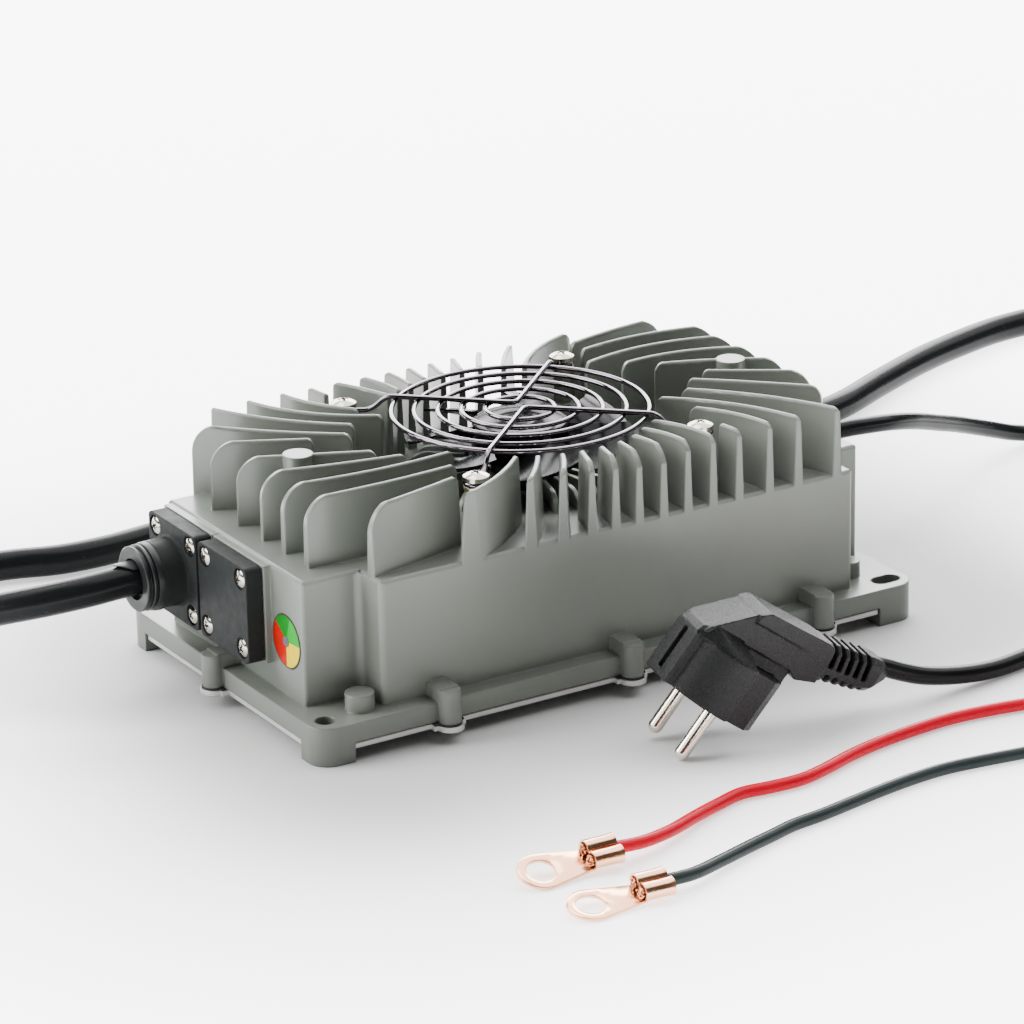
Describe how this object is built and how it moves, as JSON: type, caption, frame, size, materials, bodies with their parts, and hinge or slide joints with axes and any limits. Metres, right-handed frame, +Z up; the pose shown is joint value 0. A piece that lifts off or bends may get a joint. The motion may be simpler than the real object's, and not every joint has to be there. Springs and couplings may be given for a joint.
{
  "type": "lithium battery charger",
  "caption": "Sealed die-cast battery charger with a finned deck, a fan under a wire guard, a slotted mounting flange, battery leads with ring terminals and a mains lead with plug.",
  "frame": {"origin": "centre of the feet's plane, under the fan's axis", "axes": "+X along the flange's length, from the battery-cable end towards the mains end; +Y from the front wall to the back; +Z up along the fan's axis"},
  "size_m": [0.5805, 0.3643, 0.0808],
  "materials": {
    "cast_alloy": "satin grey coating on a die casting",
    "base_sheet": "bare sheet, satin",
    "black_rubber": "matt",
    "stainless": "bright",
    "black_plastic": "satin moulding",
    "gland_plastic": "satin moulding",
    "fan_plastic": "gloss",
    "dark_steel": "plain",
    "steel": "ground",
    "stator_pack": "lacquered",
    "post_metal": "dark plated",
    "washer_plate": "yellow zinc plated",
    "guard_wire": "bright plated",
    "window_print": "printed sectors under gloss",
    "lamp_lens": "clear grey",
    "board": "lacquered laminate",
    "core": "dark",
    "winding": "taped",
    "enamel_copper": "enamelled",
    "core_yellow": "coated",
    "capacitor_sleeve": "sleeved",
    "package_black": "moulded",
    "pad": "thermal pad",
    "block_green": "moulded",
    "cord_black": "satin sheath",
    "tie_black": "satin strap",
    "plug_black": "fine texture",
    "pin_nickel": "nickel plated",
    "lead_red": "gloss insulation",
    "lead_black": "gloss insulation",
    "copper": "bright copper"
  },
  "bodies": {
    "body": {"housing": "cast_alloy", "base_plate": "base_sheet", "base_gasket": "black_rubber", "base_screws": "stainless", "dc_gland_panel": "black_plastic", "dc_panel_gasket": "black_rubber", "dc_panel_screws": "stainless", "dc_gland_nut": "gland_plastic", "blank_panel": "black_plastic", "blank_panel_gasket": "black_rubber", "blank_panel_screws": "stainless", "ac_gland_panel": "black_plastic", "ac_panel_gasket": "black_rubber", "ac_panel_screws": "stainless", "ac_strain_relief": "black_rubber", "fan_motor_base": "black_plastic", "fan_base_screws": "stainless", "fan_stator": "stator_pack", "fan_bearings": "steel", "guard_posts": "post_metal", "fan_guard": "guard_wire", "guard_washers": "washer_plate", "guard_screws": "stainless", "status_window": "window_print", "status_lamp": "lamp_lens", "circuit_board": "board", "board_screws": "stainless", "transformer": "core", "transformer_winding": "winding", "choke_core": "core_yellow", "choke_winding": "enamel_copper", "capacitors": "capacitor_sleeve", "power_transistors": "package_black", "insulating_pad": "pad", "terminal_blocks": "block_green", "mains_cord": "cord_black", "mains_coil": "cord_black", "coil_tie": "tie_black", "mains_cord_end": "cord_black", "plug_body": "plug_black", "plug_pins": "pin_nickel", "plug_earth_contacts": "pin_nickel", "dc_cable": "cord_black", "lead_breakout": "black_rubber", "red_lead": "lead_red", "black_lead": "lead_black", "red_ring_terminal": "copper", "black_ring_terminal": "copper"},
    "rotor": {"fan_rotor": "fan_plastic", "fan_shaft": "steel", "fan_magnet": "dark_steel"}
  },
  "joints": [
    {"name": "fan_spin", "type": "hinge", "parent": "body", "child": "rotor", "pos_m": [0, 0, 0.07], "axis": [0, 0, 1], "continuous": true}
  ]
}
